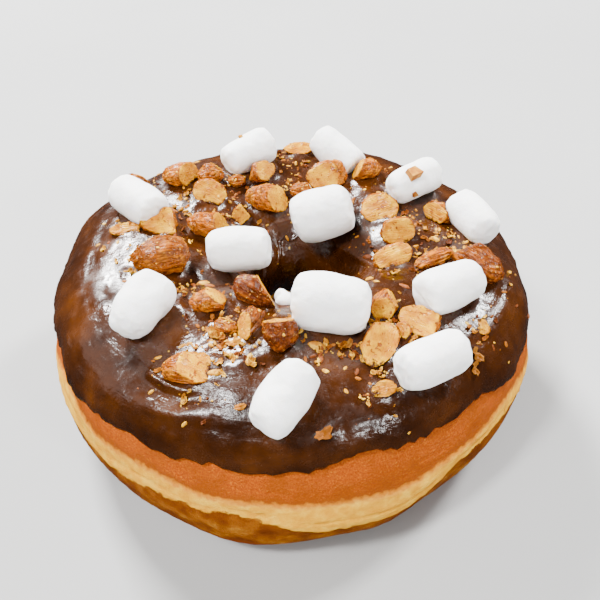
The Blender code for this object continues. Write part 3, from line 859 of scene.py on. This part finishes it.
def blurred(piece, values, rounds):
    """Values at the vertices, averaged with their neighbours."""
    edges = np.array([list(edge.vertices) for edge in piece.data.edges])
    values = np.asarray(values, float)
    count = np.bincount(edges.ravel(), minlength=len(values))
    for _ in range(rounds):
        total = np.zeros(len(values))
        np.add.at(total, edges[:, 0], values[edges[:, 1]])
        np.add.at(total, edges[:, 1], values[edges[:, 0]])
        values = (values + total / count) / 2
    return values


print("almond helpers ready")

# %% Almond pieces
DARK_ROASTS = {
    "almond_half_hole_front": 1.0,
    "almond_chunk_front": 1.0,
    "almond_splinter_front": 0.8,
    "almond_half_right": 0.9,
    "almond_half_left": 0.6,
}
nut_pieces = []
nut_draw = random.Random(5)
for name in almond_names:
    piece = fine_copy(name + "_nut", name)
    edit(piece, (bpy.ops.mesh.dissolve_limited, {"angle_limit": math.radians(2.5)}))
    cuts = knife_faces(piece)
    chipping = SPLIT_CHIPPING if "split" in name else CHIPPING
    axis, middle = long_axis(piece)
    apply(piece, "SUBSURF", levels=3, render_levels=3)
    flesh = [is_cut(vertex.co / MM, cuts) for vertex in piece.data.vertices]
    seed = Vector((nut_draw.uniform(0, 90), nut_draw.uniform(0, 90), 0.0))
    corners = [vertex.co / MM - middle for vertex in piece.data.vertices]
    runs = [corner.dot(axis) for corner in corners]
    fibres = [corner - axis * run * 0.92 + seed for corner, run in zip(corners, runs)]
    grooves = [max(0.0, 1.0 - abs(noise.noise(fibre * 1.15)) * 3.4) for fibre in fibres]
    wide_flesh = blurred(piece, flesh, 3)
    rim = 4 * wide_flesh * (1 - wide_flesh)
    gaps = [icing_node.find_nearest(corner + middle)[3] for corner in corners]
    note(piece, "smear", [math.exp(-((gap / SMEAR_REACH) ** 2)) for gap in gaps])
    note(piece, "rim", rim)
    note(piece, "flesh", blurred(piece, flesh, 1))
    # the grooves also mask the painted shade in the skin's folds
    note(piece, "groove", grooves)
    note(piece, "roast", [DARK_ROASTS.get(name, nut_draw.uniform(0.0, 0.5))] * len(flesh))
    note_vectors(piece, "fibre", fibres)
    index = iter(range(len(flesh)))

    def nut_relief(place, normal):
        """Wrinkles in the skin, dents in the cut faces and chips along their rims."""
        here = next(index)
        chip = chipping * rim[here] * min(0.0, noise.noise(place * 0.9 + seed) + 0.1)
        lump = 0.26 * noise.noise(place * 0.6 + seed) + chip
        if flesh[here]:
            dent = abs(noise.noise(place * 0.9 + seed * 2))
            return lump + 0.05 - 0.22 * max(0.0, 0.35 - dent) + 0.08 * noise.noise(place * 2.2 + seed)
        return 0.12 + lump - 0.24 * grooves[here] + 0.03 * noise.noise(place * 2.0 + seed)

    lift(piece, nut_relief)
    nut_pieces.append(piece)
print(len(nut_pieces), "almonds,", sum(len(piece.data.polygons) for piece in nut_pieces), "faces")

# %% [markdown]
# The numbers noted at the vertices steer the finish: where the skin ends and the flesh starts, where the skin
# folds, how long each nut was roasted, and how near the icing is, because that smears up the sides. Fibre
# coordinates run along the nut, so noise on them draws its long wrinkles. The folds and the wrinkle lines
# are darkened with painted shade. Crumb dust sticks to all of it.

# %% Almond finish
LIGHT_SKIN = ((0.32, 0.27, 0.054, 0.0), (0.50, 0.42, 0.104, 0.0), (0.68, 0.57, 0.20, 0.0))
DARK_SKIN = ((0.32, 0.045, 0.007, 0.0), (0.52, 0.13, 0.024, 0.0), (0.70, 0.28, 0.066, 0.0))
FLESH_TONES = ((0.30, 0.33, 0.098, 0.0), (0.48, 0.47, 0.185, 0.0), (0.70, 0.67, 0.34, 0.0))
WRINKLE_PAINTED_SHADE = (0.035, 0.006, 0.001, 1)
GROOVE_PAINTED_SHADE = (0.040, 0.008, 0.0018, 1)
DUST_SHADE = (0.62, 0.33, 0.09, 1)
FLECK_SHADE = (0.20, 0.042, 0.003, 1)
TORN_SHADE = (0.14, 0.030, 0.001, 1)
SMEAR_SHADE = (0.040, 0.011, 0.0028, 1)

nut, tree, shader = new_material(
    "roasted almond",
    Specular_IOR_Level=0.3,
    IOR=1.28,
    Subsurface_Weight=0.06,
    Subsurface_Radius=(1.0, 0.4, 0.1),
    Subsurface_Scale=0.6 * MM,
)
fibre = add(tree, "Attribute", {}, "Vector", attribute_name="fibre")
strand = add(tree, "TexNoise", {"Vector": fibre, "Scale": 1.7, "Detail": 2.0, "Roughness": 0.5})
from_middle = sums(tree, strand, 0.5, "SUBTRACT")
line = between(tree, add(tree, "Math", {0: from_middle}, operation="ABSOLUTE"), 0.0, 0.09)
worn = grain(tree, 1.6, 4.0, 0.6)
skin = mix(tree, attribute(tree, "roast"), ramp(tree, worn, *LIGHT_SKIN), ramp(tree, worn, *DARK_SKIN))
# painted shade: the skin is darkened along its wrinkle lines, which the bump sinks
skin = mix(tree, between(tree, line, 0.0, 1.0, 0.75, 0.0), skin, WRINKLE_PAINTED_SHADE)
# painted shade: the skin is darkened in its grooves, where the mesh is sunk
skin = mix(tree, between(tree, attribute(tree, "groove"), 0.4, 0.95, 0.0, 0.6), skin, GROOVE_PAINTED_SHADE)
skin = mix(tree, between(tree, grain(tree, 0.45, 3.0, 0.6), 0.63, 0.70, 0.0, 0.7), skin, DUST_SHADE)
inner = ramp(tree, grain(tree, 2.4, 3.0), *FLESH_TONES)
inner = mix(tree, between(tree, grain(tree, 1.0, 2.0, 0.5, 0.8), 0.61, 0.65, 0.0, 0.9), inner, FLECK_SHADE)
edge = sums(tree, attribute(tree, "rim"), between(tree, grain(tree, 1.0, 4.0, 0.6), 0.4, 0.62), "MULTIPLY")
inner = mix(tree, between(tree, edge, 0.1, 0.7, 0.0, 0.9), inner, TORN_SHADE)
flesh_level = sums(tree, attribute(tree, "flesh"), between(tree, worn, 0.3, 0.7, -0.2, 0.2))
bare = mix(tree, between(tree, flesh_level, 0.35, 0.6), skin, inner)
patchy = between(tree, grain(tree, 0.9, 4.0, 0.6), 0.3, 0.7, -0.35, 0.35)
smeared = sums(tree, attribute(tree, "smear"), patchy)
into(tree, mix(tree, between(tree, smeared, 0.45, 0.75), bare, SMEAR_SHADE), shader, "Base Color")
into(tree, between(tree, worn, 0.35, 0.65, 0.18, 0.36), shader, "Roughness")
relief = sums(tree, sums(tree, grain(tree, 0.35, 3.0), 0.6, "MULTIPLY"), sums(tree, line, 0.7, "MULTIPLY"))
bump(tree, shader, relief, 0.14, 0.8)
for piece, name in zip(nut_pieces, almond_names):
    dress(piece, nut, "almond", name)
print("almonds finished")

# %% [markdown]
# ## Crumbs
# Chopping also makes crumbs and flakes of skin. The larger ones are bumps on the model's icing, so their
# places are read from it: a vertex of that node that stands clear of the smooth icing belongs to a crumb.
# The finer ones are drawn at random near the nuts, from a fixed seed, and dropped onto the finished icing.


# %% Where the model's crumbs are
CREST_FROM = 33.0
CLEAR_BY = 0.3
CRUMB_WIDTH = 1.3


def crest_height(place):
    """The height of the smooth icing above a place on the plan."""
    angle, radius = angle_of(place), math.hypot(place.x, place.y)
    inside, outside = math.pi * 0.98, math.pi * 0.02
    for _ in range(30):
        turn = (inside + outside) / 2
        point = ring_point(angle, turn, icing_cover(angle, turn))
        if math.hypot(point.x, point.y) < radius:
            inside = turn
        else:
            outside = turn
    return point.z


loose = []
for vertex in nodes["icing"].data.vertices:
    place = vertex.co / MM
    if place.z > CREST_FROM and place.z - crest_height(place) > CLEAR_BY:
        loose.append(place)
crumb_groups = []
for place in loose:
    near = [group for group in crumb_groups if min((place - other).length for other in group) < CRUMB_WIDTH]
    merged = [place] + [other for group in near for other in group]
    crumb_groups = [group for group in crumb_groups if group not in near] + [merged]
print(len(crumb_groups), "crumbs found on the model's icing")

# %% [markdown]
# A crumb is a ball of a few faces, squashed and knocked out of true. A flake is a thin square, curled and
# torn round its edge, and the block that sticks to a marshmallow is a cube. Each is modelled once, then
# copied, turned and sized by the draw. All copies of a kind are joined in one mesh, for a light export.


# %% Crumb shapes
def template(build, shape):
    """The vertices and faces of a small shape, in units of its own width."""
    build()
    piece = bpy.context.object
    for vertex in piece.data.vertices:
        vertex.co = shape(vertex.co.copy())
    corners = np.array([vertex.co for vertex in piece.data.vertices])
    faces = [list(face.vertices) for face in piece.data.polygons]
    bpy.data.objects.remove(piece)
    return corners, faces


def knocked(co, seed):
    """A ball's point, moved in or out so that the ball becomes a broken, angular lump."""
    lump = co * (1.0 + 0.95 * noise.noise(co * 1.15 + Vector((seed, 0, 0))))
    return Vector((lump.x * 1.15, lump.y * 0.7, max(lump.z * 0.6, -0.16)))


def curled(co, seed):
    """A grid's point, bent into a curl with a torn edge."""
    heading = math.atan2(co.y, co.x)
    tear = 1.0 + 0.5 * noise.noise(Vector((heading * 1.1, seed, 0.0))) + 0.4 * noise.noise(co * 7.0)
    tear *= max(abs(math.cos(heading)), abs(math.sin(heading)))
    bend = 0.7 * co.x**2 + 0.35 * noise.noise(co * 2.5 + Vector((0, 0, seed)))
    return Vector((co.x * tear, co.y * (0.45 + 0.05 * seed) * tear, bend + 0.08))


def ball(levels):
    """Returns a call that adds a ball of unit width."""
    return lambda: bpy.ops.mesh.primitive_ico_sphere_add(subdivisions=levels, radius=0.5)


def sheet():
    """Adds a grid of unit width."""
    bpy.ops.mesh.primitive_grid_add(x_subdivisions=5, y_subdivisions=4, size=1.0)


def cube():
    """Adds a cube of nearly unit width."""
    bpy.ops.mesh.primitive_cube_add(size=0.9)


def uneven(co):
    """A cube's corner, moved a little."""
    return co * (1.0 + 0.5 * noise.noise(co * 1.7 + Vector((3, 3, 3))))


lumps = [template(ball(2), functools.partial(knocked, seed=seed)) for seed in (1.0, 4.0, 8.0, 12.0)]
grits = [template(ball(1), functools.partial(knocked, seed=seed)) for seed in (2.0, 5.0, 9.0)]
flakes = [template(sheet, functools.partial(curled, seed=seed)) for seed in (1.0, 2.0, 4.0, 7.0)]
block = template(cube, uneven)
print(len(lumps) + len(grits) + len(flakes) + 1, "crumb shapes")


# %% Copies in one mesh
def scatter(name, draws):
    """One mesh of many copies. Each draw is a template, a place, a normal, a size, a turn and a tint."""
    corners, faces, tints = [], [], []
    for (shape, sides), place, normal, size, turn, tint in draws:
        stand = normal.to_track_quat("Z", "Y").to_matrix() @ Matrix.Rotation(turn, 3, "Z")
        first = len(corners)
        corners += [place + stand @ Vector(corner * size) for corner in shape]
        faces += [[first + index for index in side] for side in sides]
        tints += [tint] * len(shape)
    mesh = bpy.data.meshes.new(name)
    mesh.from_pydata([corner * MM for corner in corners], [], faces)
    piece = bpy.data.objects.new(name, mesh)
    bpy.context.scene.collection.objects.link(piece)
    note(piece, "flesh", [tint[0] for tint in tints])
    note(piece, "roast", [tint[1] for tint in tints])
    note(piece, "groove", [0.0] * len(tints))
    print(name, len(draws), "copies,", len(faces), "faces")
    return piece


# %% [markdown]
# Three tables say where crumbs go. A placed crumb has a place on the plan, a kind, a width, a heading in
# degrees, its share of flesh and its roast. A stuck one has a full place, a width, flesh and roast, and sits
# on a marshmallow. A cluster is a place, a spread and a number of crumbs.

# %% Where crumbs go
PLACED = (
    (7.4, -28.1, "curl", 5.5, -40.0, 0.0, 0.35), (5.4, -46.4, "leaf", 3.2, 70.0, 0.0, 0.2),
    (-8.4, -42.1, "leaf", 1.8, 20.0, 0.3, 0.2), (-22.5, -24.8, "chip", 2.4, 10.0, 1.0, 0.0),
    (-16.9, -11.5, "lump", 2.4, 30.0, 1.0, 0.0), (3.9, -30.4, "lump", 3.0, 80.0, 0.6, 0.2),
    (33.0, -30.5, "leaf", 2.6, 100.0, 0.2, 0.2), (32.3, -32.8, "leaf", 2.2, 60.0, 0.2, 0.2),
    (9.8, -30.2, "curl", 2.6, 20.0, 0.2, 0.5), (2.6, -27.6, "curl", 3.0, 80.0, 0.1, 0.5),
    (-13.5, -26.8, "curl", 3.0, 10.0, 0.8, 0.1), (-9.5, -30.0, "leaf", 2.6, 40.0, 0.9, 0.1),
    (22.8, -26.0, "chip", 2.2, 0.0, 0.7, 0.2), (-12.9, -35.8, "chip", 2.2, 30.0, 1.0, 0.0),
    (-9.6, -27.2, "curl", 3.2, 30.0, 0.7, 0.1),
)
PLACED_SHAPES = {"curl": flakes[1], "leaf": flakes[2], "lump": lumps[0], "chip": lumps[2]}
STUCK = (
    (27.4, 14.0, 43.5, 2.8, 0.4, 0.0), (27.2, 12.4, 41.0, 1.2, 0.2, 0.5), (-8.7, 31.0, 43.0, 0.9, 0.8, 0.0),
)
CLUSTERS = (
    (-10.5, -31.5, 3.2, 34), (-12.5, -28.5, 2.0, 22), (-7.0, -26.3, 3.0, 26), (-1.5, -28.5, 3.0, 22),
    (6.5, -30.0, 4.0, 44), (11.3, -31.3, 3.0, 30), (23.5, -24.5, 2.2, 26), (33.0, 0.0, 3.6, 26),
    (34.5, -5.0, 3.0, 16), (-23.0, 15.4, 3.0, 24), (-19.5, -14.0, 2.2, 22), (-17.5, -29.0, 1.8, 8),
    (12.1, -41.2, 1.0, 9), (15.5, -27.5, 2.5, 22), (-18.0, -39.0, 1.5, 8), (16.0, -36.5, 1.4, 8),
    (0.0, 33.0, 8.0, 26), (-30.0, -7.0, 3.0, 10), (24.0, 8.0, 4.0, 20), (-12.0, 9.0, 4.0, 18),
)
FINE_ON_ICING, FINE_IN_ALL, FLAKES_IN_ALL = 700, 1150, 250
GRIT_BELOW = 0.7
crumb_draw = random.Random(23)
icing_tree = BVHTree.FromObject(icing, bpy.context.evaluated_depsgraph_get())
nut_tree = search_tree([piece.data for piece in nut_pieces])
nut_boxes = [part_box(name) for name in almond_names]
nut_middles = [((low + high) / 2 / MM, (high - low).length / MM) for low, high in nut_boxes]
print(len(PLACED), "placed,", len(STUCK), "stuck and", len(CLUSTERS), "clusters")

# %% [markdown]
# A crumb is dropped along a ray that looks straight down. The icing refuses it where a topping lies above
# or where the coat is too steep to hold it, and a nut refuses it where something else covers the nut. Every
# size, turn and tint comes from one seeded draw, so each render puts the crumbs in the same places.


# %% Dropping one crumb
def drop(x, y, on_nuts=False):
    """The place and normal of the icing, or of a nut, under a point of the plan, if nothing covers it."""
    above = Vector((x, y, 80.0))
    topping = toppings.ray_cast(above, Vector((0, 0, -1)))[0]
    if on_nuts:
        place, normal, _, _ = nut_tree.ray_cast(above, Vector((0, 0, -1)))
        if place is None or normal.z < 0.1 or topping is None or topping.z > place.z + 0.8:
            return None
        return place, normal
    place, normal, _, _ = icing_tree.ray_cast(above * MM, Vector((0, 0, -1)))
    if place is None or normal.z < 0.25:
        return None
    place = place / MM
    if topping is not None and topping.z > place.z:
        return None
    return place, normal


def tint(flesh_share=0.62):
    """Whether a crumb is flesh or skin, and how dark its roast is."""
    return float(crumb_draw.random() < flesh_share), crumb_draw.uniform(0.0, 0.8)


def any_turn():
    """A heading that can be any."""
    return crumb_draw.uniform(0, 6.28)


def near_nut(spread):
    """A point of the plan near one of the nuts."""
    middle, width = crumb_draw.choice(nut_middles)
    reach = width * 0.4 + abs(crumb_draw.gauss(0.0, spread))
    turn = crumb_draw.uniform(0, math.tau)
    return middle.x + reach * math.cos(turn), middle.y + reach * math.sin(turn)


def grit_at(found, smallest, spread, flesh_share=0.62):
    """A crumb or grit standing where it was dropped."""
    size = smallest + spread * crumb_draw.random() ** 3
    kind = crumb_draw.choice(grits if size < GRIT_BELOW else lumps)
    return kind, *found, size, any_turn(), tint(flesh_share)


def flake_at(found, size, flesh_share):
    """A curled flake lying at a slant where it was dropped."""
    place, normal = found
    lean = (normal + Vector([crumb_draw.uniform(-0.7, 0.7) for _ in range(3)])).normalized()
    return crumb_draw.choice(flakes), place + normal * 0.1, lean, size, any_turn(), tint(flesh_share)


print("crumb helpers ready")

# %% [markdown]
# The crumbs go down in turn: a large one wherever the model's icing has one, then the clusters, fine grit
# near the nuts and on top of them, loose flakes of skin, and last the placed and the stuck ones.

# %% Drop the crumbs
large, small, thin = [], [], []
for group in crumb_groups:
    middle = sum(group, Vector()) / len(group)
    width = max((place - middle).length for place in group) * 1.7
    found = drop(middle.x, middle.y)
    if found:
        large.append((crumb_draw.choice(lumps), *found, max(width, 1.0), any_turn(), tint(0.5)))
for x, y, spread, count in CLUSTERS:
    for number in range(count):
        found = drop(x + crumb_draw.gauss(0, spread * 0.6), y + crumb_draw.gauss(0, spread * 0.6))
        if found and number % 3 == 0:
            thin.append(flake_at(found, crumb_draw.uniform(0.7, 1.8), 0.6))
        elif found:
            small.append(grit_at(found, 0.3, 0.9, 0.55))
while len(small) < FINE_ON_ICING:
    found = drop(*near_nut(2.6))
    if found:
        small.append(grit_at(found, 0.25, 0.9))
while len(small) < FINE_IN_ALL:
    middle, width = crumb_draw.choice(nut_middles)
    reach = width * 0.45
    x, y = middle.x + crumb_draw.uniform(-reach, reach), middle.y + crumb_draw.uniform(-reach, reach)
    found = drop(x, y, on_nuts=True)
    if found:
        small.append(grit_at(found, 0.18, 0.5, 0.85))
while len(thin) < FLAKES_IN_ALL:
    found = drop(*near_nut(1.6))
    if found:
        thin.append(flake_at(found, crumb_draw.uniform(0.5, 1.5), 0.55))
for x, y, kind, size, heading, flesh, roast in PLACED:
    found = drop(x, y)
    if found:
        place, normal = found
        kin = thin if kind in ("curl", "leaf") else large
        row = PLACED_SHAPES[kind], place + normal * 0.12, normal, size, math.radians(heading), (flesh, roast)
        kin.append(row)
for x, y, z, size, flesh, roast in STUCK:
    place, normal, _, _ = toppings.find_nearest(Vector((x, y, z)))
    large.append((block, place + normal * size * 0.2, normal, size, 0.3, (flesh, roast)))
large_crumbs = scatter("almond_crumbs_large", large)
small_crumbs = scatter("almond_crumbs_small", small)
skin_flakes = scatter("almond_flakes", thin)
apply(skin_flakes, "SOLIDIFY", thickness=0.1 * MM)

# %% [markdown]
# One finish serves all three meshes. Each copy carries its flesh and its roast at its vertices, so the same
# shader paints a pale chip of nut and a dark flake of skin. Flat shading keeps the broken faces sharp.

# %% Crumb finish
CRUMB_TONES = ((0.35, 0.29, 0.095, 0.0), (0.5, 0.45, 0.19, 0.004), (0.65, 0.70, 0.42, 0.05))
FLAKE_TONES = ((0.0, 0.34, 0.11, 0.004), (0.4, 0.17, 0.038, 0.001), (0.8, 0.07, 0.014, 0.001))

crumb, tree, shader = new_material("almond crumbs", Specular_IOR_Level=0.3, Roughness=0.55, IOR=1.36)
tan = ramp(tree, grain(tree, 1.1, 2.0), *CRUMB_TONES)
brown = ramp(tree, attribute(tree, "roast"), *FLAKE_TONES)
into(tree, mix(tree, attribute(tree, "flesh"), brown, tan), shader, "Base Color")
bump(tree, shader, grain(tree, 0.2, 3.0), 0.06, 0.6)
for piece in (large_crumbs, small_crumbs, skin_flakes):
    dress(piece, crumb, "almond", smooth=False)
print("crumbs finished")
